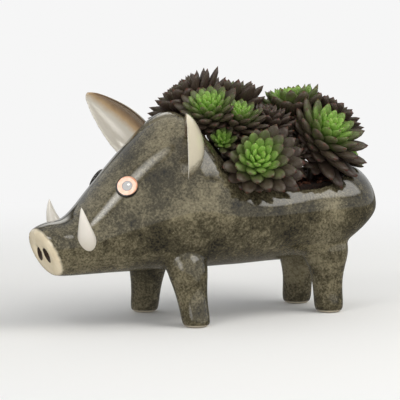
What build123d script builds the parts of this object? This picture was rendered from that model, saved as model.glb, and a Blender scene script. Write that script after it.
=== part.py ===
"""Glazed stoneware planter in the shape of a wild boar, planted with a clump of succulents.

Millimetres, +Z up. The boar looks along -X and stands on the plane Z = 0. The origin is on that
plane, under the middle of the planter's length.
"""

import math
import os

from build123d import *

# Driving dimensions of the casting
BODY_LENGTH = 263.0          # snout to rump
FRONT_LEG_X = -24.0
LEG_SPACING = 114.0          # front foot to hind foot, along X
BELLY_HEIGHT = 36.5
BACK_HEIGHT = 106.0
CROWN_HEIGHT = 146.0
SHOULDER_WIDTH = 96.0
HIP_WIDTH = 86.0
WALL = 5.5
HEAD_DISH = 0.06             # how far the brow's line sags, over its whole rise
NAPE_LENGTH = 46.0           # crown to the level back
RUMP_LENGTH = 40.0
RUMP_BLUNTNESS = 2.5         # 2 is a round rump, more is squarer
RUMP_TUCK = 1.3              # the same for its underside

SNOUT_DIAMETER = 35.0
SNOUT_TILT = 25.0            # the snout's flat end looks down by this
SNOUT_HEIGHT = 53.5          # middle of the flat end
SNOUT_EDGE = 3.0
NOSTRIL_LENGTH = 9.5
NOSTRIL_WIDTH = 5.0
NOSTRIL_SPACING = 11.0
NOSTRIL_DEPTH = 3.0
NOSTRIL_LEAN = 20.0

FRONT_STANCE = 78.6          # between the middles of the front feet
HIND_STANCE = 47.0
FRONT_LEG_SPLAY = 10.0       # how far a front leg leans out from belly to foot
HIND_LEG_SPLAY = 4.0
FRONT_LEG_RAKE = 2.0
HIND_LEG_RAKE = 0.5          # how far a hind leg leans back from belly to foot
FOOT_DIAMETER = 19.0
FRONT_LEG_FLARE = 1.55       # leg's width at belly height over its width at the foot
HIND_LEG_FLARE = 1.7
FOOT_EDGE = 2.5
LEG_BLEND = 3.0              # fillet between leg and belly

MOUTH_LENGTH = 114.0
MOUTH_WIDTH = 72.0
MOUTH_REAR_LAND = 15.0       # from the mouth to the end of the rump
LIP_ROUND = 2.0
CAVITY_FIRST_STATION = 3     # the hollow starts at this section of the head

# Clay pieces luted on to the casting
EAR_ROOT = (-30.0, -34.0, 118.0)
EAR_TIP = (-52.0, -75.0, 152.0)
EAR_WIDTH = 36.0
EAR_OUTLINE = [(-0.16, 0.8), (0, 0.92), (0.22, 1), (0.48, 0.88), (0.72, 0.63), (0.9, 0.36), (1, 0.12)]
EAR_CUP = 13.0               # depth of the hollow
EAR_THICKNESS = 4.0
TUSK_ROOT = (-96.0, -15.0, 58.0)
TUSK_BEND = (-104.0, -27.0, 67.0)
TUSK_TIP = (-106.0, -24.3, 87.0)
TUSK_DIAMETER = 15.0
EYE_X = -69.5
EYE_HEIGHT = 98.5
EYE_DIAMETER = 16.0
EYE_RISE = 1.6
TAIL_ROOT = (121.0, 0.0, 76.0)
TAIL_BEND = (134.0, 3.0, 66.0)
TAIL_TIP = (121.0, 12.0, 47.0)
TAIL_DIAMETER = 8.0

# Planting
SOIL_LEVEL = 91.0
SOIL_CLEARANCE = 1.0         # between the root ball and the pot
STEM_DIAMETER = 6.0
STEM_DEPTH = 9.0             # how far a stem goes into the soil
STEM_CLEARANCE = 0.15
LEAF_CLEARANCE = 0.8         # between the leaves of two rosettes
POT_CLEARANCE = 2.5          # between a leaf and the pot
LEAF_CURL = 0.15             # how far the tips turn in to the heart
LEAF_BREADTH = 0.8           # share of the room round the heart that a leaf fills
LEAF_THICKNESS = 0.45
HEART_ANGLE = 5.0            # the first and the last ring of leaves, from the rosette's axis
SKIRT_ANGLE = 135.0
CORE_SHARE = 0.24            # core's radius over the rosette's

EAR_LENGTH = math.dist(EAR_ROOT, EAR_TIP)
SNOUT_X = -BODY_LENGTH / 2
RUMP_X = BODY_LENGTH / 2
CROWN_X = FRONT_LEG_X + 1.0
HIND_LEG_X = FRONT_LEG_X + LEG_SPACING
NAPE_X = CROWN_X + NAPE_LENGTH
HIP_X = RUMP_X - RUMP_LENGTH
MOUTH_X = RUMP_X - MOUTH_REAR_LAND - MOUTH_LENGTH / 2


def smoothstep(share):
    """0 to 1 with a level start and end."""
    return share * share * (3 - 2 * share)


def between(low, high, share):
    return low + (high - low) * share


# Cross-sections of the body


class Station:
    """An egg-shaped section across the body: two half ellipses that share one width."""

    def __init__(self, x, low, wide, high, half_width):
        self.x, self.low, self.wide, self.high, self.half_width = x, low, wide, high, half_width

    def inset(self, wall):
        return Station(self.x, self.low + wall, self.wide, self.high - wall, self.half_width - wall)

    def face(self):
        plane = Plane(origin=(self.x, 0, self.wide), x_dir=(0, 1, 0), z_dir=(1, 0, 0))
        rise, drop = self.high - self.wide, self.wide - self.low
        upper = EllipticalCenterArc((0, 0), self.half_width, rise, start_angle=0, arc_size=180)
        lower = EllipticalCenterArc((0, 0), self.half_width, drop, start_angle=180, arc_size=180)
        return plane * make_face([upper, lower])


def snout_plane():
    """Plane of the flat end of the snout, looking out of it."""
    tilt = math.radians(SNOUT_TILT)
    middle_x = SNOUT_X + SNOUT_DIAMETER / 2 * math.sin(tilt)
    look = (-math.cos(tilt), 0, -math.sin(tilt))
    return Plane(origin=(middle_x, 0, SNOUT_HEIGHT), x_dir=(0, 1, 0), z_dir=look)



def body_stations(inset=0.0):
    """Sections from just behind the snout to the rump's end, all drawn in by the inset."""
    snout_top = SNOUT_HEIGHT + SNOUT_DIAMETER / 2 * math.cos(math.radians(SNOUT_TILT))
    level = 0.52 * BACK_HEIGHT + 0.5 * BELLY_HEIGHT
    stations = []
    for share in (0.22, 0.42, 0.62, 0.82, 1.0):
        x = between(SNOUT_X, CROWN_X, share)
        sag = HEAD_DISH * math.sin(math.pi * share)
        high = between(snout_top, CROWN_HEIGHT, smoothstep(share) - sag)
        half_width = between(SNOUT_DIAMETER / 2, SHOULDER_WIDTH / 2 - 2, share ** 1.2)
        wide = between(SNOUT_HEIGHT, level, share)
        stations.append(Station(x, BELLY_HEIGHT, wide, high, half_width))
    for share in (0.35, 0.7, 1.0):
        x = between(CROWN_X, NAPE_X, share)
        high = between(CROWN_HEIGHT, BACK_HEIGHT, smoothstep(share))
        stations.append(Station(x, BELLY_HEIGHT - 0.5, level, high, SHOULDER_WIDTH / 2))
    flank_x = between(NAPE_X, HIP_X, 0.55)
    stations.append(Station(flank_x, BELLY_HEIGHT, level, BACK_HEIGHT, 0.48 * SHOULDER_WIDTH))
    stations = [station.inset(inset) for station in stations]
    for share in (0.0, 0.35, 0.62, 0.82, 0.94, 0.99):
        dome = (1 - share ** RUMP_BLUNTNESS) ** (1 / RUMP_BLUNTNESS)
        tuck = (1 - share ** RUMP_TUCK) ** (1 / RUMP_TUCK)
        low = level - tuck * (level - BELLY_HEIGHT - 2.0 - inset)
        high = level + dome * (BACK_HEIGHT - level - inset)
        x = between(HIP_X, RUMP_X - inset, share)
        stations.append(Station(x, low, level, high, dome * (HIP_WIDTH / 2 - inset)))
    return stations


def leg(foot_x, foot_y, root_x, root_y, flare):
    """Tapered leg from the sole up into the body, leaning from its root to its foot."""
    rings = []
    for share, growth in ((0.0, 1.0), (0.4, 1.1), (0.8, 1.32), (1.15, flare)):
        x, y = between(foot_x, root_x, share), between(foot_y, root_y, share)
        rings.append(Pos(x, y, share * BELLY_HEIGHT) * Circle(growth * FOOT_DIAMETER / 2).face())
    top_x, top_y = between(foot_x, root_x, 1.5), between(foot_y, root_y, 1.5)
    rings.append(Pos(top_x, top_y, 1.5 * BELLY_HEIGHT) * Circle(FOOT_DIAMETER / 2).face())
    solid = loft(rings)
    sole = solid.edges().sort_by(Axis.Z)[0]
    return fillet(sole, FOOT_EDGE)


def nostril(side):
    """Slanted oval hollow in the snout's flat end."""
    oval = Rot(0, 0, -side * NOSTRIL_LEAN) * Ellipse(NOSTRIL_WIDTH / 2, NOSTRIL_LENGTH / 2)
    oval = Pos(side * NOSTRIL_SPACING / 2, 0) * oval
    return extrude(snout_plane() * oval, amount=NOSTRIL_DEPTH, both=True)


def cavity(clearance):
    """Hollow inside the walls, reaching forward into the neck; a clearance makes it smaller."""
    sections = body_stations(WALL + clearance)[CAVITY_FIRST_STATION:]
    for section in sections:
        section.high = min(section.high, BACK_HEIGHT - WALL - clearance)
    sections[0].x += clearance
    return loft([section.face() for section in sections])


def mouth(clearance, bottom, top):
    oval = Pos(MOUTH_X, 0, bottom) * Ellipse(MOUTH_LENGTH / 2 - clearance, MOUTH_WIDTH / 2 - clearance)
    return extrude(oval, amount=top - bottom)


STATIONS = body_stations()
snout_face = snout_plane() * Circle(SNOUT_DIAMETER / 2).face()
torso = loft([snout_face] + [station.face() for station in STATIONS])
torso = fillet(torso.edges().sort_by(Axis.X)[0], SNOUT_EDGE)
outer = torso
for side in (-1, 1):
    front_y, hind_y = side * FRONT_STANCE / 2, side * HIND_STANCE / 2
    front_root_y, hind_root_y = front_y - side * FRONT_LEG_SPLAY, hind_y - side * HIND_LEG_SPLAY
    outer += leg(FRONT_LEG_X, front_y, FRONT_LEG_X - FRONT_LEG_RAKE, front_root_y, FRONT_LEG_FLARE)
    outer += leg(HIND_LEG_X, hind_y, HIND_LEG_X - HIND_LEG_RAKE, hind_root_y, HIND_LEG_FLARE)
creases = outer.edges().filter_by(lambda edge: 30 < edge.center().Z < 60 and edge.length > 60)
outer = fillet(creases.filter_by(lambda edge: edge.center().X > STATIONS[2].x), LEG_BLEND)
hollow = cavity(0) + mouth(0, STATIONS[-1].wide, CROWN_HEIGHT + 10)
casting = outer - hollow - nostril(-1) - nostril(1)
lip = casting.edges().filter_by(lambda edge: edge.length > MOUTH_LENGTH).sort_by(Axis.Z)[-1]
casting = fillet(lip, LIP_ROUND)


def section_at(x):
    """Section of the body at a place along it."""
    for first, last in zip(STATIONS, STATIONS[1:]):
        if first.x <= x <= last.x:
            share = (x - first.x) / (last.x - first.x)
            sizes = [between(a, b, share) for a, b in zip(vars(first).values(), vars(last).values())]
            return Station(*sizes)
    return None


def flank_y(x, z):
    """Half-width of the body at a place along it and a height."""
    section = section_at(x)
    rise = section.high - section.wide if z > section.wide else section.wide - section.low
    level = min(1.0, abs(z - section.wide) / rise)
    return section.half_width * math.sqrt(1 - level ** 2)


def horn(start, bend, end, root_diameter, tip_diameter):
    """Tapered curved piece of clay with a round section."""
    start, bend, end = Vector(*start), Vector(*bend), Vector(*end)
    rings = []
    for share in (0.0, 0.25, 0.5, 0.75, 0.92, 1.0):
        middle = start * (1 - share) ** 2 + bend * (2 * share * (1 - share)) + end * share ** 2
        heading = (bend - start) * (1 - share) + (end - bend) * share
        taper = math.sqrt(1 - share ** 2.2)
        diameter = max(tip_diameter, root_diameter * taper)
        plane = Plane(origin=middle, x_dir=heading.cross(Vector(0, 1, 0)), z_dir=heading)
        rings.append(plane * Circle(diameter / 2).face())
    return loft(rings)


def ear():
    """Left ear: a cupped leaf that stands out from the side of the head, its hollow to the front."""
    along = Vector(*EAR_TIP) - Vector(*EAR_ROOT)
    along = along.normalized()
    across = Vector(0.15, 0.45, 0.88)
    across = (across - along * across.dot(along)).normalized()
    sections = []
    for share, width in EAR_OUTLINE:
        half, thick = width * EAR_WIDTH / 2, EAR_THICKNESS * (0.35 + 0.65 * width)
        depth = EAR_CUP * width
        back = ThreePointArc((-half, 0), (0, -depth), (half, 0))
        inner = half - 0.5 * thick
        hollow_arc = ThreePointArc((inner, 0), (0, thick - depth), (-inner, 0))
        edges = [back, Line((half, 0), (inner, 0)), hollow_arc, Line((-inner, 0), (-half, 0))]
        plane = Plane(origin=Vector(*EAR_ROOT) + along * (share * EAR_LENGTH), x_dir=across, z_dir=along)
        sections.append(plane * make_face(edges))
    return loft(sections) - outer


def eye():
    """Left eye: a button with a rounded edge, set square on the cheek."""
    y = -flank_y(EYE_X, EYE_HEIGHT)
    slope_x = (flank_y(EYE_X + 2, EYE_HEIGHT) - flank_y(EYE_X - 2, EYE_HEIGHT)) / 4
    slope_z = (flank_y(EYE_X, EYE_HEIGHT + 2) - flank_y(EYE_X, EYE_HEIGHT - 2)) / 4
    plane = Plane(origin=(EYE_X, y, EYE_HEIGHT), z_dir=(-slope_x, -1, -slope_z))
    button = extrude(plane.offset(-EYE_RISE) * Circle(EYE_DIAMETER / 2), amount=2 * EYE_RISE)
    rim = button.edges().filter_by(GeomType.CIRCLE).sort_by(lambda edge: edge.center().dot(plane.z_dir))[-1]
    return fillet(rim, 0.6 * EYE_RISE) - outer


def tusk():
    """Left tusk: leaves the corner of the jaw, then turns up."""
    return horn(TUSK_ROOT, TUSK_BEND, TUSK_TIP, TUSK_DIAMETER, 2.0) - outer


left_ear, left_eye, left_tusk = ear(), eye(), tusk()
tail = horn(TAIL_ROOT, TAIL_BEND, TAIL_TIP, TAIL_DIAMETER, 4.0) - outer
nodes = {"body_casting": casting, "tail": tail}
for name, piece in (("ear", left_ear), ("eye", left_eye), ("tusk", left_tusk)):
    nodes["left_" + name] = piece
    nodes["right_" + name] = mirror(piece, about=Plane.XZ)


# Planting: root ball and rosettes


def over_mouth(x, y):
    return ((x - MOUTH_X) / (MOUTH_LENGTH / 2)) ** 2 + (y / (MOUTH_WIDTH / 2)) ** 2 < 0.94


def clear_of_pot(point):
    """Whether a leaf may be at a point: above the soil, the lip and the back, or beside the flank."""
    x, y, z = point
    section = section_at(x)
    if section is None:
        return x > 0
    if z > section.high + POT_CLEARANCE or abs(y) > flank_y(x, z) + POT_CLEARANCE:
        return True
    return over_mouth(x, y) and z > SOIL_LEVEL + LEAF_CLEARANCE


class Rosette:
    """Fleshy pointed leaves in staggered rings round a core, on a stem rooted in the soil."""

    def __init__(self, name, heart, facing, reach, root, leaves=9, rings=6):
        self.name, self.reach, self.leaves, self.rings = name, reach, leaves, rings
        self.axis = Vector(*facing).normalized()
        self.side = self.axis.cross(Vector(0, 1, 0.2)).normalized()
        self.other = self.axis.cross(self.side)
        self.core = Vector(*heart) - self.axis * (0.5 * reach)
        self.root = Vector(root[0], root[1], SOIL_LEVEL)

    def point(self, polar, turn, distance):
        """Place at an angle from the axis, a turn round it and a distance from the core."""
        polar = polar * (1 - LEAF_CURL * distance / self.reach)
        flat = self.side * math.cos(turn) + self.other * math.sin(turn)
        return self.core + (self.axis * math.cos(polar) + flat * math.sin(polar)) * distance

    def free(self, point):
        """Whether a leaf may be at a point, as seen from the pot and the other rosettes."""
        if not clear_of_pot(point):
            return False
        for other in ROSETTES:
            if other is self:
                continue
            span = other.core - self.core
            share = self.reach / (self.reach + other.reach)
            if (point - self.core).dot(span.normalized()) > share * span.length - LEAF_CLEARANCE:
                return False
            stem = other.root - other.core
            along = min(1.0, max(0.0, (point - other.core).dot(stem) / stem.dot(stem)))
            if (point - other.core - stem * along).length < STEM_DIAMETER / 2 + 2 * LEAF_CLEARANCE:
                return False
        return True

    def solid(self):
        step = 2 * math.pi / self.leaves
        core_radius = CORE_SHARE * self.reach
        shares = [ring / (self.rings + 1) for ring in range(self.rings + 2)]
        polars = [math.radians(between(HEART_ANGLE, SKIRT_ANGLE, share)) for share in shares]

        def knot(ring, number):
            return self.point(polars[ring], step * (number + ring % 2 / 2), core_radius)

        triangles = []
        for ring in range(1, self.rings + 1):
            full = self.reach * between(0.6, 1.0, (ring - 1) / (self.rings - 1))
            for number in range(self.leaves):
                turn = step * (number + (ring - 1) % 2 / 2)
                left = number - 1 if ring % 2 == 1 else number
                base = [knot(ring - 1, number), knot(ring, left)]
                base += [knot(ring + 1, number), knot(ring, left + 1)]
                thick = polars[ring] - polars[ring - 1]
                length = full
                while True:
                    middle = between(core_radius, length, 0.55)
                    shape = [(-LEAF_THICKNESS, 0), (0, -LEAF_BREADTH)]
                    shape += [(LEAF_THICKNESS, 0), (0, LEAF_BREADTH)]
                    waist = [
                        self.point(polars[ring] + thick * up, turn + step / 2 * across, middle)
                        for up, across in shape
                    ]
                    tip = self.point(polars[ring], turn, length)
                    if length < 1.25 * core_radius or all(self.free(spot) for spot in waist + [tip]):
                        break
                    length *= 0.93
                for first in range(4):
                    last = (first + 1) % 4
                    triangles.append((base[first], base[last], waist[last]))
                    triangles.append((base[first], waist[last], waist[first]))
                    triangles.append((waist[first], waist[last], tip))
        crown = self.point(0, 0, core_radius)
        last_ring = self.rings + 1
        for number in range(self.leaves):
            after = number + 1
            triangles.append((knot(0, number), knot(0, after), crown))
            triangles.append((knot(0, number), knot(1, number), knot(0, after)))
            half = number if last_ring % 2 == 0 else number + 1
            triangles.append((knot(last_ring, number), knot(last_ring, after), knot(last_ring - 1, half)))
        socket = self.root - Vector(0, 0, STEM_DEPTH)
        hub = [knot(last_ring, number) for number in range(self.leaves)]
        collar, foot = [], []
        for spot in hub:
            offset = spot - self.core
            offset = offset - self.axis * offset.dot(self.axis)
            offset = Vector(offset.X, offset.Y, 0).normalized() * (STEM_DIAMETER / 2)
            collar.append(self.root + offset)
            foot.append(socket + offset)
        for number in range(self.leaves):
            after = (number + 1) % self.leaves
            for upper, lower in ((hub, collar), (collar, foot)):
                triangles.append((upper[number], lower[number], upper[after]))
                triangles.append((upper[after], lower[number], lower[after]))
            triangles.append((foot[number], socket, foot[after]))
        faces = [Face(Wire.make_polygon(list(corners), close=True)) for corners in triangles]
        return Solid(Shell(faces))


ROSETTES = [
    Rosette("rosette_front", (22, -44, 116), (-0.3, -0.8, 0.5), 33, (32, -21)),
    Rosette("rosette_nape", (2, -8, 150), (-0.3, -0.35, 0.89), 29, (13, -4)),
    Rosette("rosette_far_nape", (-2, 26, 153), (-0.5, 0.35, 0.8), 36, (17, 9)),
    Rosette("rosette_top", (30, 20, 152), (0.1, 0.3, 0.95), 36, (31, 11)),
    Rosette("rosette_middle", (22, -14, 144), (0, -0.3, 0.95), 26, (24, -7)),
    Rosette("rosette_small_front", (5, -22, 127), (-0.4, -0.75, 0.5), 18, (19, -18)),
    Rosette("rosette_brown", (48, -8, 139), (0.1, -0.15, 0.98), 30, (48, -6)),
    Rosette("rosette_rear", (89, -26, 131), (0.25, -0.6, 0.76), 37, (78, -13)),
    Rosette("rosette_far_rear", (80, 14, 147), (-0.1, 0.15, 0.98), 37, (76, 8)),
    Rosette("rosette_end", (106, 6, 138), (0.55, 0.1, 0.83), 30, (92, 4)),
    Rosette("rosette_small_rear", (117, -9, 107), (0.75, -0.35, 0.55), 17, (101, -6)),
    Rosette("rosette_low_side", (62, -26, 117), (0.1, -0.7, 0.7), 18, (60, -20)),
    Rosette("rosette_far_side", (53, 36, 128), (0.1, 0.6, 0.79), 32, (54, 17)),
]
root_ball = mouth(SOIL_CLEARANCE, BELLY_HEIGHT, SOIL_LEVEL) & cavity(SOIL_CLEARANCE)
for rosette in ROSETTES:
    socket = Cylinder(STEM_DIAMETER / 2 + STEM_CLEARANCE, 2 * (STEM_DEPTH + STEM_CLEARANCE))
    root_ball -= Pos(rosette.root) * socket
    nodes[rosette.name] = rosette.solid()
nodes["root_ball"] = root_ball
os.makedirs("parts", exist_ok=True)
for name, shape in nodes.items():
    export_step(shape, f"parts/{name}.step")
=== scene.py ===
# %% [markdown]
# A glazed stoneware planter in the shape of a wild boar, planted with succulents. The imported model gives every
# solid in metres with +Z up; this script dresses it: softened clay, glazes, eyes, soil and fleshy leaves.

# %% Load the frame
import math

import bpy
import bmesh
import numpy as np
from mathutils import Matrix, Vector, noise
from mathutils.bvhtree import BVHTree


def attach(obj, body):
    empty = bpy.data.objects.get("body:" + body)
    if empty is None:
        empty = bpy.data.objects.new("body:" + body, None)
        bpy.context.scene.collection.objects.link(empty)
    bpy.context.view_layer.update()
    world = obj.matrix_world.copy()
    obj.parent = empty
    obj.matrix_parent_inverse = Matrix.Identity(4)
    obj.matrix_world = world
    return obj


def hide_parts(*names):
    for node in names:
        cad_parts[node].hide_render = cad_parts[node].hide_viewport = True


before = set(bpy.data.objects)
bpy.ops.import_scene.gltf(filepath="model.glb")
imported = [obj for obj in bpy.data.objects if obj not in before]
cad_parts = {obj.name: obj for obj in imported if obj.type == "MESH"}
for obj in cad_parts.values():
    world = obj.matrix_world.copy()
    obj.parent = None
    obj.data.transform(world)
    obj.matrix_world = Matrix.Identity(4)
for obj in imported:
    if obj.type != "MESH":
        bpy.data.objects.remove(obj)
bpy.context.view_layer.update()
MM = 0.001

# %% [markdown]
# Colours are picked as sRGB hex values, the way a maker would read them off a glaze sample, and Blender's sockets
# want linear light, so one function converts. One function adds a node with its settings and links, and a short
# form of it does arithmetic.

# %% Colour and node helpers


def linear(code, alpha=1.0):
    """sRGB hex to linear RGBA."""
    channels = [int(code[i:i + 2], 16) / 255 for i in (1, 3, 5)]
    return tuple(c / 12.92 if c <= 0.04045 else ((c + 0.055) / 1.055) ** 2.4 for c in channels) + (alpha,)


def add(tree, kind, settings=None, **inputs):
    """Adds a node; a value sets a socket, and an output socket is linked to it."""
    node = tree.nodes.new(kind)
    for key, value in (settings or {}).items():
        setattr(node, key, value)
    for key, value in inputs.items():
        name = key.replace("_", " ")
        socket = node.inputs[int(key[1:])] if key[0] == "i" and key[1:].isdigit() else node.inputs[name]
        if isinstance(value, bpy.types.NodeSocket):
            tree.links.new(value, socket)
        else:
            socket.default_value = value
    return node


def maths(tree, operation, *values):
    """A Math node on up to three values or sockets."""
    sockets = {f"i{number}": value for number, value in enumerate(values)}
    return add(tree, "ShaderNodeMath", {"operation": operation}, **sockets).outputs[0]


def length_of(tree, x, y):
    """Distance of a point in the plane from the origin."""
    flat = add(tree, "ShaderNodeCombineXYZ", X=x, Y=y).outputs[0]
    return add(tree, "ShaderNodeVectorMath", {"operation": "LENGTH"}, i0=flat).outputs["Value"]


def ramp(tree, value, stops):
    """Colour ramp over hex stops."""
    node = add(tree, "ShaderNodeValToRGB", Fac=value)
    elements = node.color_ramp.elements
    while len(elements) < len(stops):
        elements.new(0.5)
    for element, (place, code) in zip(elements, stops):
        element.position = place
        element.color = linear(code)
    return node.outputs["Color"]


def blank_material(name):
    material = bpy.data.materials.new(name)
    material.use_nodes = True
    tree = material.node_tree
    tree.nodes.clear()
    shader = add(tree, "ShaderNodeBsdfPrincipled")
    add(tree, "ShaderNodeOutputMaterial", Surface=shader.outputs["BSDF"])
    place = add(tree, "ShaderNodeTexCoord").outputs["Object"]
    return material, tree, shader, place


# %% [markdown]
# Slip-cast clay has no sharp edges: casting, sponging and the pool of glaze round everything off. The CAD solid
# is exact but creased where a leg meets the belly, so a copy is rebuilt as an even grid (voxel remesh) and
# relaxed a little. That rounds the creases as wet clay and glaze do and leaves the sizes as they are.

# %% Soften the clay pieces


def soften(node, name, voxel, rounds):
    """A remeshed and relaxed copy of a CAD node that stands for it."""
    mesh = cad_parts[node].data.copy()
    work = bmesh.new()
    work.from_mesh(mesh)
    bmesh.ops.remove_doubles(work, verts=work.verts, dist=1e-6)
    work.to_mesh(mesh)
    work.free()
    piece = bpy.data.objects.new(name, mesh)
    bpy.context.collection.objects.link(piece)
    remesh = piece.modifiers.new("clay", "REMESH")
    remesh.mode = "VOXEL"
    remesh.voxel_size = voxel
    remesh.use_smooth_shade = True
    relax = piece.modifiers.new("sponge", "SMOOTH")
    relax.factor = 0.5
    relax.iterations = rounds
    done = bpy.data.meshes.new_from_object(piece.evaluated_get(bpy.context.evaluated_depsgraph_get()))
    piece.modifiers.clear()
    piece.data = done
    piece.data.materials.clear()
    for face in done.polygons:
        face.use_smooth = True
    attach(piece, "pot")
    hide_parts(node)
    print(name, len(done.polygons), "faces")
    return piece


body = soften("body_casting", "boar_body", 1.5 * MM, 14)
ears = [soften(side + "_ear", side + "_ear_clay", 0.7 * MM, 34) for side in ("left", "right")]
eyes = [soften(side + "_eye", side + "_eye_button", 0.4 * MM, 6) for side in ("left", "right")]
tail = soften("tail", "tail_clay", 0.6 * MM, 8)

# %% [markdown]
# The body glaze is a reactive stoneware glaze fired glossy: an olive-grey ground, darker pools, pale ash specks
# and a clear top that mirrors the room. The pattern is layered noise in real sizes (cloud 45 mm, mottle 8 mm,
# speck 1.6 mm) on Object coordinates, with a clear coat for the sharp reflection.

# %% Speckled stoneware glaze


def mottled(tree, place, dark, mid, pale):
    """Cloud, mottle and speck of a stoneware glaze as one colour."""
    cloud = add(tree, "ShaderNodeTexNoise", Vector=place, Scale=1 / (45 * MM), Detail=3.0, Roughness=0.55)
    mottle = add(tree, "ShaderNodeTexNoise", Vector=place, Scale=1 / (8 * MM), Detail=7.0, Roughness=0.78)
    speck = add(tree, "ShaderNodeTexNoise", Vector=place, Scale=1 / (1.6 * MM), Detail=3.0, Roughness=0.7)
    cloudy = maths(tree, "MULTIPLY", mottle.outputs["Fac"], 0.45)
    cloudy = maths(tree, "MULTIPLY_ADD", cloud.outputs["Fac"], 0.55, cloudy)
    ground = maths(tree, "MULTIPLY_ADD", cloudy, 0.9, -0.16)
    fine = maths(tree, "MULTIPLY_ADD", speck.outputs["Fac"], 0.42, ground)
    return ramp(tree, fine, [(0.36, dark), (0.49, mid), (0.64, pale)]), mottle.outputs["Fac"]


def mask(tree, value, low, high):
    """0 below low, 1 above high, smooth between."""
    return add(tree, "ShaderNodeMapRange", {"interpolation_type": "SMOOTHSTEP"}, Value=value,
               i1=low, i2=high).outputs["Result"]


def blend_colour(tree, share, first, second):
    node = add(tree, "ShaderNodeMix", {"data_type": "RGBA"}, i0=share)
    for socket, value in ((node.inputs[6], first), (node.inputs[7], second)):
        if isinstance(value, bpy.types.NodeSocket):
            tree.links.new(value, socket)
        else:
            socket.default_value = value
    return node.outputs[2]


def gloss(tree, shader, colour, uneven, roughness=0.16):
    """Fired glaze: a hard clear skin with a faint orange-peel ripple."""
    tree.links.new(colour, shader.inputs["Base Color"])
    shader.inputs["Roughness"].default_value = roughness
    shader.inputs["IOR"].default_value = 1.52
    shader.inputs["Specular IOR Level"].default_value = 0.2
    shader.inputs["Coat Weight"].default_value = 0.9
    shader.inputs["Coat Roughness"].default_value = 0.03
    shader.inputs["Coat IOR"].default_value = 1.55
    bump = add(tree, "ShaderNodeBump", Strength=0.12, Distance=0.4 * MM, Height=uneven)
    tree.links.new(bump.outputs["Normal"], shader.inputs["Normal"])


SNOUT_MIDDLE = (-0.1241, 0.0, 0.0535)      # middle of the flat end of the snout
SNOUT_TILT = math.radians(25)
SNOUT_LOOK = Vector((-math.cos(SNOUT_TILT), 0, -math.sin(SNOUT_TILT)))
SNOUT_UP = Vector((-math.sin(SNOUT_TILT), 0, math.cos(SNOUT_TILT)))
NOSTRIL_LEAN = math.radians(20)
NOSTRIL_OUT, NOSTRIL_DROP = 5.3 * MM, 1.5 * MM          # from the middle of the snout
NOSTRIL_HALF_WIDTH, NOSTRIL_HALF_LENGTH = 3.5 * MM, 5.6 * MM
SOLE_LINE = 1.2 * MM                                     # bare clay at the foot of each leg

grey_glaze, tree, shader, place = blank_material("speckled_stoneware_glaze")
ground, uneven = mottled(tree, place, "#1a1811", "#4d4735", "#8d846a")
offset = add(tree, "ShaderNodeVectorMath", {"operation": "SUBTRACT"}, i0=place, i1=SNOUT_MIDDLE).outputs[0]
depth = add(tree, "ShaderNodeVectorMath", {"operation": "DOT_PRODUCT"}, i0=offset, i1=SNOUT_LOOK).outputs["Value"]
wobble = maths(tree, "MULTIPLY_ADD", uneven, 3 * MM, depth)
cream = mask(tree, wobble, -2.6 * MM, -0.4 * MM)
snout_cream = ramp(tree, uneven, [(0.3, "#e0cfae"), (0.7, "#f2e6cc")])
colour = blend_colour(tree, cream, ground, snout_cream)
apart = add(tree, "ShaderNodeSeparateXYZ", Vector=offset)
side = maths(tree, "ABSOLUTE", apart.outputs["Y"])
up = add(tree, "ShaderNodeVectorMath", {"operation": "DOT_PRODUCT"}, i0=offset, i1=SNOUT_UP).outputs["Value"]
up = maths(tree, "ADD", up, NOSTRIL_DROP)
out = maths(tree, "SUBTRACT", side, NOSTRIL_OUT)
turned_out = maths(tree, "MULTIPLY", out, math.cos(NOSTRIL_LEAN))
across = maths(tree, "MULTIPLY_ADD", up, math.sin(NOSTRIL_LEAN), turned_out)
turned_in = maths(tree, "MULTIPLY", out, -math.sin(NOSTRIL_LEAN))
along = maths(tree, "MULTIPLY_ADD", up, math.cos(NOSTRIL_LEAN), turned_in)
across = maths(tree, "DIVIDE", across, NOSTRIL_HALF_WIDTH)
along = maths(tree, "DIVIDE", along, NOSTRIL_HALF_LENGTH)
inside = mask(tree, length_of(tree, across, along), 1.08, 0.92)
near_face = mask(tree, depth, -6 * MM, -4.5 * MM)
nostril = maths(tree, "MULTIPLY", inside, near_face)
colour = blend_colour(tree, nostril, colour, linear("#33241a"))
height = add(tree, "ShaderNodeSeparateXYZ", Vector=place).outputs["Z"]
bare = mask(tree, height, SOLE_LINE + 1 * MM, SOLE_LINE)
colour = blend_colour(tree, bare, colour, linear("#cfc4b0"))
gloss(tree, shader, colour, uneven)
for piece in (body, tail):
    piece.data.materials.append(grey_glaze)
print("glaze nodes", len(tree.nodes))

# %% [markdown]
# Ears: the hollow is dipped in cream glaze, and toward the upper edge it goes tan and brown, which is painted shade
# of the upper flap of the hollow; the back carries the grey body glaze at the root, fading to cream at the tip. Each
# ear stores how far a point is from root to tip, how far up across the leaf, and whether it is on the hollow side,
# and the glaze mixes by those.

# %% Ear glaze
EAR_ROOT, EAR_TIP = Vector((-30.0, -34.0, 118.0)) * MM, Vector((-52.0, -75.0, 152.0)) * MM
EAR_HALF_WIDTH = 18 * MM


def store(mesh, name, values):
    mesh.attributes.new(name, "FLOAT", "POINT").data.foreach_set("value", np.asarray(values, dtype=np.float32))


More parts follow.
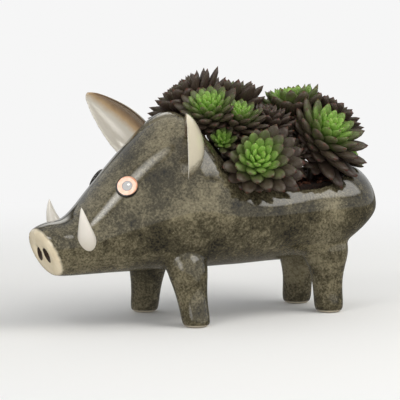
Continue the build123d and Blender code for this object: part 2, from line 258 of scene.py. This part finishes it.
for piece, flip in zip(ears, (1, -1)):
    root, tip = (Vector((v.x, v.y * flip, v.z)) for v in (EAR_ROOT, EAR_TIP))
    along_ear = tip - root
    length = along_ear.length
    along_ear.normalize()
    across_ear = Vector((0.15, 0.45 * flip, 0.88))
    across_ear = (across_ear - along_ear * across_ear.dot(along_ear)).normalized()
    facing = along_ear.cross(across_ear) * flip
    points = [v.co - root for v in piece.data.vertices]
    store(piece.data, "root_to_tip", [p.dot(along_ear) / length for p in points])
    store(piece.data, "low_to_high", [p.dot(across_ear) / EAR_HALF_WIDTH for p in points])
    store(piece.data, "hollow_side", [v.normal.dot(facing) for v in piece.data.vertices])
    print(piece.name, "faces the front by", round(-facing.x, 2))

ear_glaze, tree, shader, place = blank_material("ear_glaze_cream_over_grey")
ground, uneven = mottled(tree, place, "#2c2920", "#5d5645", "#958b74")
reach = add(tree, "ShaderNodeAttribute", {"attribute_name": "root_to_tip"}).outputs["Fac"]
rise = add(tree, "ShaderNodeAttribute", {"attribute_name": "low_to_high"}).outputs["Fac"]
hollow = add(tree, "ShaderNodeAttribute", {"attribute_name": "hollow_side"}).outputs["Fac"]
patchy = maths(tree, "MULTIPLY_ADD", uneven, 0.5, reach)
back = blend_colour(tree, mask(tree, patchy, 0.3, 0.6), ground, linear("#e4dac2"))
# the hollow's cream goes tan and brown toward the upper edge: painted shade where the upper flap of the hollow is in
# shade
hollow_painted_shade_rise = mask(tree, maths(tree, "MULTIPLY_ADD", uneven, 0.35, rise), -0.5, 1.1)
hollow_cream_and_painted_shade = ramp(tree, hollow_painted_shade_rise, [(0.25, "#e2dccf"), (0.5, "#c9ac86"), (0.75, "#86694b"), (0.97, "#5a4632")])
colour = blend_colour(tree, mask(tree, hollow, 0.0, 0.25), back, hollow_cream_and_painted_shade)
gloss(tree, shader, colour, uneven)
for piece in ears:
    piece.data.materials.append(ear_glaze)

# %% [markdown]
# Tusks are dipped white. A little warm grey gathers at the root, where the white runs thin over the body glaze.

# %% Rolled tusks
TUSK = [Vector((-96.0, -15.0, 58.0)), Vector((-104.0, -27.0, 67.0)), Vector((-106.0, -24.3, 87.0))]
RINGS, SPOKES = 28, 28
TUSK_RADIUS, TUSK_POINT = 7.3, 0.35


def rolled_tusk(name, flip):
    """A coil of clay rolled to a point and bent up: a round section along the tusk's curve."""
    root, bend, tip = (Vector((v.x, v.y * flip, v.z)) for v in TUSK)
    points, faces = [], []
    for ring in range(RINGS + 1):
        share = ring / RINGS
        middle = root * (1 - share) ** 2 + bend * (2 * share * (1 - share)) + tip * share ** 2
        ahead = ((bend - root) * (1 - share) + (tip - bend) * share).normalized()
        side = ahead.cross(Vector((1, 0, 0))).normalized()
        other = ahead.cross(side)
        radius = TUSK_RADIUS * (1 - share ** 1.5) ** 0.85 + TUSK_POINT * math.sqrt(1 - share)
        for spoke in range(SPOKES):
            turn = 2 * math.pi * spoke / SPOKES
            points.append((middle + (side * math.cos(turn) + other * math.sin(turn)) * radius) * MM)
        if ring:
            low, high = (ring - 1) * SPOKES, ring * SPOKES
            for spoke in range(SPOKES):
                after = (spoke + 1) % SPOKES
                faces.append((low + spoke, low + after, high + after, high + spoke))
    faces.append(tuple(reversed(range(SPOKES))))
    mesh = bpy.data.meshes.new(name)
    mesh.from_pydata(points, [], faces)
    work = bmesh.new()
    work.from_mesh(mesh)
    bmesh.ops.remove_doubles(work, verts=work.verts, dist=1e-6)
    bmesh.ops.recalc_face_normals(work, faces=work.faces)
    work.to_mesh(mesh)
    work.free()
    for face in mesh.polygons:
        face.use_smooth = True
    piece = bpy.data.objects.new(name, mesh)
    bpy.context.collection.objects.link(piece)
    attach(piece, "pot")
    return piece


tusks = []
for side, flip in (("left", 1), ("right", -1)):
    tusks.append(rolled_tusk(side + "_tusk_clay", flip))
    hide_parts(side + "_tusk")

# %% Tusk glaze
white_glaze, tree, shader, place = blank_material("white_tusk_glaze")
thin = add(tree, "ShaderNodeTexNoise", Vector=place, Scale=1 / (6 * MM), Detail=4.0).outputs["Fac"]
height = add(tree, "ShaderNodeSeparateXYZ", Vector=place).outputs["Z"]
climb = maths(tree, "MULTIPLY_ADD", thin, 6 * MM, height)
colour = ramp(tree, mask(tree, climb, 52 * MM, 74 * MM), [(0.0, "#a59b88"), (0.3, "#d9d1c2"), (1.0, "#efe9df")])
gloss(tree, shader, colour, thin, 0.2)
for piece in tusks:
    piece.data.materials.append(white_glaze)

# %% [markdown]
# Each eye is a button with a painted peach iris, a grey pupil set a little to the front and a dark line round the
# edge, and a small white dot on the pupil that is a painted highlight. Distances from the button's middle are stored
# on its points, so the rings stay round on the dome.

# %% Painted eyes
EYE_RADIUS = 8.0

for piece, flip in zip(eyes, (1, -1)):
    coords = np.array([v.co for v in piece.data.vertices])
    middle = coords.mean(axis=0)
    spread = np.linalg.svd(coords - middle, full_matrices=False)[2]
    normal = spread[2] * (1 if spread[2][1] * -flip > 0 else -1)
    forward = np.cross(np.array([0, 0, 1.0]), normal) * flip
    forward /= np.linalg.norm(forward)
    upward = np.cross(normal, forward) * flip
    flat = coords - middle
    store(piece.data, "from_front", flat @ forward / (EYE_RADIUS * MM))
    store(piece.data, "from_low", flat @ upward / (EYE_RADIUS * MM))
    print(piece.name, "looks along", normal.round(2), "forward", forward.round(2), "up", upward.round(2))

eye_glaze, tree, shader, place = blank_material("painted_eye_glaze")
ahead = add(tree, "ShaderNodeAttribute", {"attribute_name": "from_front"}).outputs["Fac"]
above = add(tree, "ShaderNodeAttribute", {"attribute_name": "from_low"}).outputs["Fac"]


def ring(ahead_mm, above_mm):
    """Distance from a painted ring's middle, as a share of the button's radius."""
    x = maths(tree, "SUBTRACT", ahead, ahead_mm / EYE_RADIUS)
    y = maths(tree, "SUBTRACT", above, above_mm / EYE_RADIUS)
    return length_of(tree, x, y)


wear = add(tree, "ShaderNodeTexNoise", Vector=place, Scale=1 / (3 * MM), Detail=3.0).outputs["Fac"]
iris = ramp(tree, wear, [(0.3, "#e89a72"), (0.7, "#f5bd9b")])
edge = mask(tree, ring(0.4, 0.4), 0.84, 0.92)
colour = blend_colour(tree, edge, iris, linear("#1d1a17"))
colour = blend_colour(tree, mask(tree, ring(0.3, 0.2), 0.50, 0.43), colour, linear("#2a2521"))
colour = blend_colour(tree, mask(tree, ring(0.3, 0.2), 0.44, 0.38), colour, linear("#77787a"))
# small white dot on the pupil: a painted highlight, a glint of the lamps painted into the eye
colour = blend_colour(tree, mask(tree, ring(1.1, 1.2), 0.13, 0.09), colour, linear("#f4f2ee"))
gloss(tree, shader, colour, wear, 0.1)
for piece in eyes:
    piece.data.materials.append(eye_glaze)

# %% [markdown]
# The planting is a clump of succulent rosettes. Each is a spiral of fleshy leaves round a heart, turned by the
# golden angle, longer and flatter to the outside. One leaf is modelled once, and a Geometry Nodes tree puts it
# on the points of a spiral with a stored turn, size and age. A leaf that would pass into the pot, or over the
# line to a neighbour, is made shorter, as crowded leaves grow.

# %% One fleshy leaf


def leaf_outline(share):
    """Half-width of the leaf along its length: a narrow foot, a broad upper half and a point."""
    if share < 0.55:
        return 0.45 + 0.55 * math.sin(math.pi / 2 * share / 0.55)
    return max(0.0, 1 - ((share - 0.55) / 0.45) ** 2.4) ** 0.72


def leaf_mesh(rings=9, corners=8):
    """Unit leaf along +Z, its upper face to +Y, half a unit wide at most."""
    points, shares, faces = [], [], []
    for ring in range(rings):
        share = ring / rings
        half = leaf_outline(share)
        for corner in range(corners):
            angle = 2 * math.pi * corner / corners
            thick = 0.30 if math.sin(angle) > 0 else 0.62
            points.append((half * math.cos(angle), thick * half * math.sin(angle), share))
            shares.append(share)
        if ring:
            for corner in range(corners):
                low, after = (ring - 1) * corners, (corner + 1) % corners
                faces.append((low + corner, low + after, low + corners + after, low + corners + corner))
    points.append((0, 0, 1.0))
    shares.append(1.0)
    top, last = len(points) - 1, (rings - 1) * corners
    faces += [(last + corner, last + (corner + 1) % corners, top) for corner in range(corners)]
    faces.append(tuple(reversed(range(corners))))
    mesh = bpy.data.meshes.new("leaf")
    mesh.from_pydata(points, [], faces)
    store(mesh, "foot_to_point", shares)
    for face in mesh.polygons:
        face.use_smooth = True
    return mesh


leaf = bpy.data.objects.new("leaf_pattern", leaf_mesh())
bpy.context.collection.objects.link(leaf)
print("leaf faces", len(leaf.data.polygons))

# %% Where each rosette sits
# name: (heart, facing, reach, root), in millimetres
ROSETTES = {
    "rosette_front": ((22, -44, 116), (-0.3, -0.8, 0.5), 33, (32, -21)),
    "rosette_nape": ((2, -8, 150), (-0.3, -0.35, 0.89), 29, (13, -4)),
    "rosette_far_nape": ((-2, 26, 153), (-0.5, 0.35, 0.8), 36, (17, 9)),
    "rosette_top": ((30, 20, 152), (0.1, 0.3, 0.95), 36, (31, 11)),
    "rosette_middle": ((22, -14, 144), (0, -0.3, 0.95), 26, (24, -7)),
    "rosette_small_front": ((5, -22, 127), (-0.4, -0.75, 0.5), 18, (19, -18)),
    "rosette_brown": ((48, -8, 139), (0.1, -0.15, 0.98), 30, (48, -6)),
    "rosette_rear": ((89, -26, 131), (0.25, -0.6, 0.76), 37, (78, -13)),
    "rosette_far_rear": ((80, 14, 147), (-0.1, 0.15, 0.98), 37, (76, 8)),
    "rosette_end": ((106, 6, 138), (0.55, 0.1, 0.83), 30, (92, 4)),
    "rosette_small_rear": ((117, -9, 107), (0.75, -0.35, 0.55), 17, (101, -6)),
    "rosette_low_side": ((62, -26, 117), (0.1, -0.7, 0.7), 18, (60, -20)),
    "rosette_far_side": ((53, 36, 128), (0.1, 0.6, 0.79), 32, (54, 17)),
}
# how much older than a green heart these look from the middle out
BROWN_HEARTS = {"rosette_brown": 0.55, "rosette_low_side": 0.4, "rosette_far_nape": 0.35, "rosette_top": 0.2,
                "rosette_end": 0.25}
GOLDEN_ANGLE = math.radians(137.508)
LEAVES, SMALL_ROSETTE_LEAVES = 84, 46
SOIL_LEVEL = 91.0

walls = []
for piece in [body] + ears:
    shape = bmesh.new()
    shape.from_mesh(piece.data)
    walls.append(BVHTree.FromBMesh(shape))
    shape.free()
cores = {}
for name, (heart, facing, reach, root) in ROSETTES.items():
    axis = Vector(facing).normalized()
    cores[name] = (Vector(heart) - axis * (0.5 * reach), axis, reach)


def leaf_may_reach(name, point, slack):
    """Whether a leaf's point keeps clear of the pot, the soil and its neighbours."""
    core, axis, reach = cores[name]
    if point.z < SOIL_LEVEL + 1.5:
        return False
    for wall in walls:
        nearest, normal, index, gap = wall.find_nearest(point * MM)
        if (point * MM - nearest).dot(normal) < 1.2 * MM and gap < 12 * MM:
            return False
    for other, (other_core, other_axis, other_reach) in cores.items():
        if other != name:
            span = other_core - core
            limit = reach / (reach + other_reach) * span.length + slack
            if (point - core).dot(span.normalized()) > limit:
                return False
    return True


def spiral(name):
    """Places, turns, sizes and ages of one rosette's leaves."""
    core, axis, reach = cores[name]
    side = axis.orthogonal().normalized()
    other = axis.cross(side)
    count = LEAVES if reach > 24 else SMALL_ROSETTE_LEAVES
    rows = []
    for number in range(count):
        age = number / (count - 1)
        polar = math.radians(6 + 108 * age ** 0.75)
        turn = number * GOLDEN_ANGLE
        flat = side * math.cos(turn) + other * math.sin(turn)
        ahead = axis * math.cos(polar) + flat * math.sin(polar)
        length = reach * (0.56 + 0.44 * min(1.0, age * 1.8))
        start = core + axis * (0.12 * reach * (1 - age)) + ahead * (0.06 * reach)
        tip_lift = axis * (0.30 * math.sin(polar))
        while length > 0.45 * reach:
            spots = [start + (ahead + tip_lift * share) * (length * share) for share in (0.5, 0.8, 1.0)]
            if all(leaf_may_reach(name, spot, 2.0) for spot in spots):
                break
            length *= 0.92
        else:
            continue
        along = (ahead + tip_lift * 0.7).normalized()
        upper = (axis - along * axis.dot(along)).normalized() if polar > 0.02 else side
        across = upper.cross(along)
        turned = Matrix((across, upper, along)).transposed().to_euler()
        width = 0.165 * reach * (0.5 + 0.5 * min(1.0, age * 2.4))
        rows.append((start * MM, tuple(turned), (width * MM, width * MM, length * MM), age))
    return rows


spirals = {name: spiral(name) for name in ROSETTES}
print({name: len(rows) for name, rows in spirals.items()})

# %% Geometry Nodes tree that grows a rosette
grow = bpy.data.node_groups.new("grow_rosette", "GeometryNodeTree")
for title, kind in (("Spiral", "NodeSocketGeometry"), ("Leaf", "NodeSocketObject"),
                    ("Stem Top", "NodeSocketVector"), ("Stem Root", "NodeSocketVector"),
                    ("Stem Radius", "NodeSocketFloat"), ("Finish", "NodeSocketMaterial")):
    grow.interface.new_socket(title, in_out="INPUT", socket_type=kind)
grow.interface.new_socket("Rosette", in_out="OUTPUT", socket_type="NodeSocketGeometry")
given = add(grow, "NodeGroupInput").outputs
turned = add(grow, "GeometryNodeInputNamedAttribute", {"data_type": "FLOAT_VECTOR"}, Name="turned").outputs[0]
sized = add(grow, "GeometryNodeInputNamedAttribute", {"data_type": "FLOAT_VECTOR"}, Name="sized").outputs[0]
pattern = add(grow, "GeometryNodeObjectInfo", Object=given["Leaf"], As_Instance=True).outputs["Geometry"]
rotation = add(grow, "FunctionNodeEulerToRotation", Euler=turned).outputs[0]
leaves = add(grow, "GeometryNodeInstanceOnPoints", Points=given["Spiral"], Instance=pattern,
             Rotation=rotation, Scale=sized)
line = add(grow, "GeometryNodeCurvePrimitiveLine", Start=given["Stem Root"], End=given["Stem Top"]).outputs["Curve"]
profile = add(grow, "GeometryNodeCurvePrimitiveCircle", Resolution=10, Radius=given["Stem Radius"]).outputs["Curve"]
stem = add(grow, "GeometryNodeCurveToMesh", Curve=line, Profile_Curve=profile, Fill_Caps=True).outputs[0]
aged = add(grow, "GeometryNodeStoreNamedAttribute", {"data_type": "FLOAT"},
           Geometry=stem, Name="age", Value=1.3).outputs[0]
joined = add(grow, "GeometryNodeJoinGeometry")
grow.links.new(leaves.outputs["Instances"], joined.inputs[0])
grow.links.new(aged, joined.inputs[0])
real = add(grow, "GeometryNodeRealizeInstances", Geometry=joined.outputs[0]).outputs[0]
finish = add(grow, "GeometryNodeSetMaterial", Geometry=real, Material=given["Finish"]).outputs[0]
add(grow, "NodeGroupOutput", Rosette=finish)
SOCKETS = {item.name: item.identifier for item in grow.interface.items_tree if item.in_out == "INPUT"}

# %% [markdown]
# The leaf skin is waxy and a little translucent. Hearts are bright green; with age the leaves go dark olive and
# brown from the point down, with a faint pale bloom and a red-brown point.

# %% Leaf skin
leaf_skin, tree, shader, place = blank_material("waxy_succulent_leaf")
age = add(tree, "ShaderNodeAttribute", {"attribute_name": "age"}).outputs["Fac"]
foot = add(tree, "ShaderNodeAttribute", {"attribute_name": "foot_to_point"}).outputs["Fac"]
blotch = add(tree, "ShaderNodeTexNoise", Vector=place, Scale=1 / (7 * MM), Detail=4.0).outputs["Fac"]
grain = add(tree, "ShaderNodeTexNoise", Vector=place, Scale=1 / (0.9 * MM), Detail=2.0).outputs["Fac"]
older = maths(tree, "MULTIPLY_ADD", blotch, 0.35, age)
ripe = mask(tree, maths(tree, "MULTIPLY_ADD", foot, 0.28, older), 0.1, 1.35)
LEAF_AGES = [(0.02, "#b6d870"), (0.22, "#8cb551"), (0.42, "#62733c"), (0.6, "#4f4637"), (0.88, "#42352c")]
colour = ramp(tree, ripe, LEAF_AGES)
bloom = maths(tree, "MULTIPLY", mask(tree, grain, 0.45, 0.75), 0.12)
colour = blend_colour(tree, bloom, colour, linear("#8f9180"))
point = mask(tree, foot, 0.93, 1.0)
colour = blend_colour(tree, point, colour, linear("#5a2f22"))
tree.links.new(colour, shader.inputs["Base Color"])
shader.inputs["Roughness"].default_value = 0.42
shader.inputs["IOR"].default_value = 1.42
shader.inputs["Subsurface Weight"].default_value = 0.12
shader.inputs["Subsurface Radius"].default_value = (0.4, 1.0, 0.2)
shader.inputs["Subsurface Scale"].default_value = 2 * MM
skin = add(tree, "ShaderNodeBump", Strength=0.15, Distance=0.2 * MM, Height=grain)
tree.links.new(skin.outputs["Normal"], shader.inputs["Normal"])

# %% Grow the rosettes
STEM_DEPTH, STEM_RADIUS = 6, 2.9


def settle(piece, name, bodyname, nodes=()):
    """Turns the evaluated piece into a plain mesh and hands it to the frame."""
    done = bpy.data.meshes.new_from_object(piece.evaluated_get(bpy.context.evaluated_depsgraph_get()))
    piece.modifiers.clear()
    piece.data = done
    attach(piece, bodyname)
    if nodes:
        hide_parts(*nodes)
    print(name, len(done.polygons), "faces")


for name, rows in spirals.items():
    points = bpy.data.meshes.new(name + "_leaves")
    points.from_pydata([row[0] for row in rows], [], [])
    for title, column in (("turned", 1), ("sized", 2)):
        values = np.array([tuple(row[column]) for row in rows], dtype=np.float32).ravel()
        points.attributes.new(title, "FLOAT_VECTOR", "POINT").data.foreach_set("vector", values)
    store(points, "age", [row[3] + BROWN_HEARTS.get(name, 0.0) for row in rows])
    plant = bpy.data.objects.new(name + "_leaves", points)
    bpy.context.collection.objects.link(plant)
    modifier = plant.modifiers.new("grow", "NODES")
    modifier.node_group = grow
    core, axis, reach = cores[name]
    root = ROSETTES[name][3]
    modifier[SOCKETS["Leaf"]] = leaf
    modifier[SOCKETS["Stem Top"]] = core * MM
    modifier[SOCKETS["Stem Root"]] = Vector((root[0], root[1], SOIL_LEVEL - STEM_DEPTH)) * MM
    modifier[SOCKETS["Stem Radius"]] = STEM_RADIUS * MM
    modifier[SOCKETS["Finish"]] = leaf_skin
    settle(plant, name, "planting", [name])
bpy.data.objects.remove(leaf)

# %% [markdown]
# Potting mix: a dark crumbly surface with reddish bark. A disc the size of the mouth is roughened with two
# sizes of noise for clods and crumbs, and a second Geometry Nodes tree scatters bark chips on it.

# %% Potting mix and bark
MOUTH_X, MOUTH_HALF_LENGTH, MOUTH_HALF_WIDTH = 59.5, 55.4, 34.4


def soil_height(x, y, share):
    """Clods and crumbs, lower to the edge, in millimetres above the soil level."""
    clods = noise.noise(Vector((x, y, 3.0)) / 11) * 1.6
    crumbs = noise.noise(Vector((x, y, 9.0)) / 2.6) * 0.9
    return 1.8 + 1.6 * (1 - share) + (clods + crumbs) * (1 - share ** 6)


points, faces = [(MOUTH_X * MM, 0, (SOIL_LEVEL + soil_height(MOUTH_X, 0, 0)) * MM)], []
RINGS, SPOKES = 44, 160
for ring in range(1, RINGS + 1):
    share = ring / RINGS
    for spoke in range(SPOKES):
        angle = 2 * math.pi * spoke / SPOKES
        x = MOUTH_X + MOUTH_HALF_LENGTH * share * math.cos(angle)
        y = MOUTH_HALF_WIDTH * share * math.sin(angle)
        points.append((x * MM, y * MM, (SOIL_LEVEL + soil_height(x, y, share)) * MM))
base = len(points)
for spoke in range(SPOKES):
    x, y, z = points[base - SPOKES + spoke]
    points.append((x, y, (SOIL_LEVEL - 2) * MM))
for spoke in range(SPOKES):
    after = (spoke + 1) % SPOKES
    faces.append((0, 1 + spoke, 1 + after))
    for ring in range(RINGS):
        low, high = 1 + ring * SPOKES, 1 + (ring + 1) * SPOKES
        faces.append((low + spoke, high + spoke, high + after, low + after))
faces.append(tuple(reversed(range(base, base + SPOKES))))
soil_mesh = bpy.data.meshes.new("potting_mix")
soil_mesh.from_pydata(points, [], faces)
soil = bpy.data.objects.new("potting_mix_top", soil_mesh)
bpy.context.collection.objects.link(soil)

soil_mix, tree, shader, place = blank_material("peat_and_bark_mix")
crumb = add(tree, "ShaderNodeTexNoise", Vector=place, Scale=1 / (2.2 * MM), Detail=8.0, Roughness=0.75).outputs["Fac"]
colour = ramp(tree, crumb, [(0.3, "#120c09"), (0.52, "#2c1d15"), (0.66, "#4d3122"), (0.8, "#7a4a30")])
tree.links.new(colour, shader.inputs["Base Color"])
shader.inputs["Roughness"].default_value = 0.85
rough = add(tree, "ShaderNodeBump", Strength=0.8, Distance=1.2 * MM, Height=crumb)
tree.links.new(rough.outputs["Normal"], shader.inputs["Normal"])
soil_mesh.materials.append(soil_mix)
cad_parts["root_ball"].data.materials.clear()
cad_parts["root_ball"].data.materials.append(soil_mix)

bark, tree, shader, place = blank_material("composted_bark")
fibre = add(tree, "ShaderNodeTexNoise", Vector=place, Scale=1 / (1.8 * MM), Detail=5.0).outputs["Fac"]
colour = ramp(tree, fibre, [(0.3, "#24130c"), (0.55, "#5b3220"), (0.8, "#8f5a38")])
tree.links.new(colour, shader.inputs["Base Color"])
shader.inputs["Roughness"].default_value = 0.7

chip_mesh = bpy.data.meshes.new("chip")
shape = bmesh.new()
bmesh.ops.create_cube(shape, size=1.0)
bmesh.ops.subdivide_edges(shape, edges=shape.edges, cuts=2, use_grid_fill=True)
for vertex in shape.verts:
    vertex.co += noise.noise_vector(vertex.co * 2.3) * 0.22
shape.to_mesh(chip_mesh)
shape.free()
chip = bpy.data.objects.new("chip_pattern", chip_mesh)
bpy.context.collection.objects.link(chip)

scatter = bpy.data.node_groups.new("scatter_bark", "GeometryNodeTree")
for title, kind in (("Soil", "NodeSocketGeometry"), ("Chip", "NodeSocketObject"), ("Chips per m2", "NodeSocketFloat"),
                    ("Smallest", "NodeSocketVector"), ("Largest", "NodeSocketVector"), ("Seed", "NodeSocketInt"),
                    ("Finish", "NodeSocketMaterial")):
    scatter.interface.new_socket(title, in_out="INPUT", socket_type=kind)
scatter.interface.new_socket("Bark", in_out="OUTPUT", socket_type="NodeSocketGeometry")
given = add(scatter, "NodeGroupInput").outputs
upward = add(scatter, "ShaderNodeSeparateXYZ", Vector=add(scatter, "GeometryNodeInputNormal").outputs[0]).outputs["Z"]
faces_up = add(scatter, "FunctionNodeCompare", {"data_type": "FLOAT", "operation": "GREATER_THAN"},
               A=upward, B=0.4).outputs[0]
spots = add(scatter, "GeometryNodeDistributePointsOnFaces", Mesh=given["Soil"], Selection=faces_up,
            Density=given["Chips per m2"], Seed=given["Seed"])
turn = add(scatter, "FunctionNodeRandomValue", {"data_type": "FLOAT_VECTOR"},
           Min=(-0.4, -0.4, 0.0), Max=(0.4, 0.4, 6.28), Seed=given["Seed"]).outputs[0]
size = add(scatter, "FunctionNodeRandomValue", {"data_type": "FLOAT_VECTOR"},
           Min=given["Smallest"], Max=given["Largest"], Seed=given["Seed"]).outputs[0]
pattern = add(scatter, "GeometryNodeObjectInfo", Object=given["Chip"], As_Instance=True).outputs["Geometry"]
chips = add(scatter, "GeometryNodeInstanceOnPoints", Points=spots.outputs["Points"], Instance=pattern,
            Rotation=add(scatter, "FunctionNodeEulerToRotation", Euler=turn).outputs[0], Scale=size)
real = add(scatter, "GeometryNodeRealizeInstances", Geometry=chips.outputs["Instances"]).outputs[0]
finish = add(scatter, "GeometryNodeSetMaterial", Geometry=real, Material=given["Finish"]).outputs[0]
add(scatter, "NodeGroupOutput", Bark=finish)
SOCKETS = {item.name: item.identifier for item in scatter.interface.items_tree if item.in_out == "INPUT"}

chips_on_soil = bpy.data.objects.new("bark_chips", soil_mesh.copy())
bpy.context.collection.objects.link(chips_on_soil)
modifier = chips_on_soil.modifiers.new("scatter", "NODES")
modifier.node_group = scatter
for title, value in (("Chip", chip), ("Chips per m2", 42000.0), ("Smallest", (1.6 * MM, 1.0 * MM, 0.7 * MM)),
                     ("Largest", (5.5 * MM, 3.0 * MM, 1.8 * MM)), ("Seed", 7), ("Finish", bark)):
    modifier[SOCKETS[title]] = value
settle(chips_on_soil, "bark_chips", "planting", ())
bpy.data.objects.remove(chip)
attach(soil, "planting")

# %% [markdown]
# The stage is a pale floor under soft studio light. The glaze mirrors its surroundings, so the lamps are large
# glowing panels that fade to their edges: one over the flank, one over the brow, and a fill before and behind.
# The photograph was taken from far away with a long lens, so the camera stands 4 m off.

# %% Floor, light and camera
scene = bpy.context.scene
scene.view_settings.view_transform = "Standard"
floor_mesh = bpy.data.meshes.new("floor")
floor_mesh.from_pydata([(-6, -6, 0), (6, -6, 0), (6, 6, 0), (-6, 6, 0)], [], [(0, 1, 2, 3)])
floor = bpy.data.objects.new("floor", floor_mesh)
bpy.context.collection.objects.link(floor)
floor_paint, tree, shader, place = blank_material("pale_floor")
shader.inputs["Base Color"].default_value = linear("#f4f4f4")
shader.inputs["Roughness"].default_value = 0.9
shader.inputs["Specular IOR Level"].default_value = 0.0
BACKDROP = "#f6f6f6"
far_off = add(tree, "ShaderNodeVectorMath", {"operation": "LENGTH"}, i0=place).outputs["Value"]
glow = add(tree, "ShaderNodeEmission", Color=linear(BACKDROP), Strength=1.0).outputs[0]
fade = add(tree, "ShaderNodeMixShader", i0=mask(tree, far_off, 0.2, 0.6), i1=shader.outputs[0], i2=glow).outputs[0]
# reflections in the glaze see the floor as a dull grey glow: a painted darker reflection, not the floor's own colour
mirrored = add(tree, "ShaderNodeLightPath").outputs["Is Glossy Ray"]
painted_floor_reflection = add(tree, "ShaderNodeEmission", Color=linear("#6b6862"), Strength=1.0).outputs[0]
fade = add(tree, "ShaderNodeMixShader", i0=mirrored, i1=fade, i2=painted_floor_reflection).outputs[0]
tree.links.new(fade, [node for node in tree.nodes if node.type == "OUTPUT_MATERIAL"][0].inputs["Surface"])
floor_mesh.materials.append(floor_paint)

world = bpy.data.worlds.new("studio")
scene.world = world
world.use_nodes = True
tree = world.node_tree
tree.nodes.clear()
seen = add(tree, "ShaderNodeLightPath").outputs["Is Camera Ray"]
plain = add(tree, "ShaderNodeBackground", Color=linear(BACKDROP), Strength=1.0).outputs[0]
dim = add(tree, "ShaderNodeBackground", Color=linear("#cfd0d0"), Strength=0.95).outputs[0]
add(tree, "ShaderNodeOutputWorld", Surface=add(tree, "ShaderNodeMixShader", i0=seen, i1=dim, i2=plain).outputs[0])


def softbox(name, direction, distance, wide, tall, glow, soft):
    """A glowing panel that looks at the boar; soft is the share of its size over which the glow fades out."""
    mesh = bpy.data.meshes.new(name)
    x, y = wide / 2, tall / 2
    mesh.from_pydata([(-x, -y, 0), (-x, y, 0), (x, y, 0), (x, -y, 0)], [], [(0, 1, 2, 3)])
    panel = bpy.data.objects.new(name, mesh)
    bpy.context.collection.objects.link(panel)
    target = Vector((0, 0, 0.09))
    panel.location = target + Vector(direction).normalized() * distance
    panel.rotation_euler = (target - panel.location).to_track_quat("-Z", "Y").to_euler()
    panel.visible_camera = False
    material, tree, shader, place = blank_material(name)
    apart = add(tree, "ShaderNodeSeparateXYZ", Vector=place)
    strength = glow
    for axis, half in (("X", x), ("Y", y)):
        lit = mask(tree, maths(tree, "ABSOLUTE", apart.outputs[axis]), half, half * (1 - soft))
        strength = maths(tree, "MULTIPLY", strength, lit)
    emission = add(tree, "ShaderNodeEmission", Color=linear("#fffdf8"), Strength=strength).outputs[0]
    tree.links.new(emission, [node for node in tree.nodes if node.type == "OUTPUT_MATERIAL"][0].inputs["Surface"])
    mesh.materials.append(material)


softbox("flank_softbox", (0.47, -0.48, 0.74), 1.4, 1.5, 1.2, 3.4, 0.35)
softbox("brow_softbox", (-0.58, -0.34, 0.74), 1.3, 0.7, 0.45, 7.5, 0.95)
softbox("front_fill", (-0.95, -0.6, 0.25), 2.2, 1.8, 1.8, 3.6, 0.9)
softbox("back_fill", (0.3, 0.9, 0.6), 2.2, 1.6, 1.4, 1.8, 0.9)

AZIMUTH, ELEVATION, DISTANCE = math.radians(-28.3), math.radians(7.9), 4.0
AIM = Vector((-0.0005, 0, 0.0822))
FOCAL_PIXELS, PHOTO_PIXELS, SENSOR_WIDTH = 5731, 400, 36
camera_data = bpy.data.cameras.new("camera")
camera_data.sensor_width = SENSOR_WIDTH
camera_data.lens = FOCAL_PIXELS / PHOTO_PIXELS * SENSOR_WIDTH
camera = bpy.data.objects.new("camera", camera_data)
bpy.context.collection.objects.link(camera)
backward = Vector((math.sin(AZIMUTH), -math.cos(AZIMUTH), math.tan(ELEVATION))).normalized()
camera.location = AIM + backward * DISTANCE
camera.rotation_euler = (-backward).to_track_quat("-Z", "Y").to_euler()
scene.camera = camera
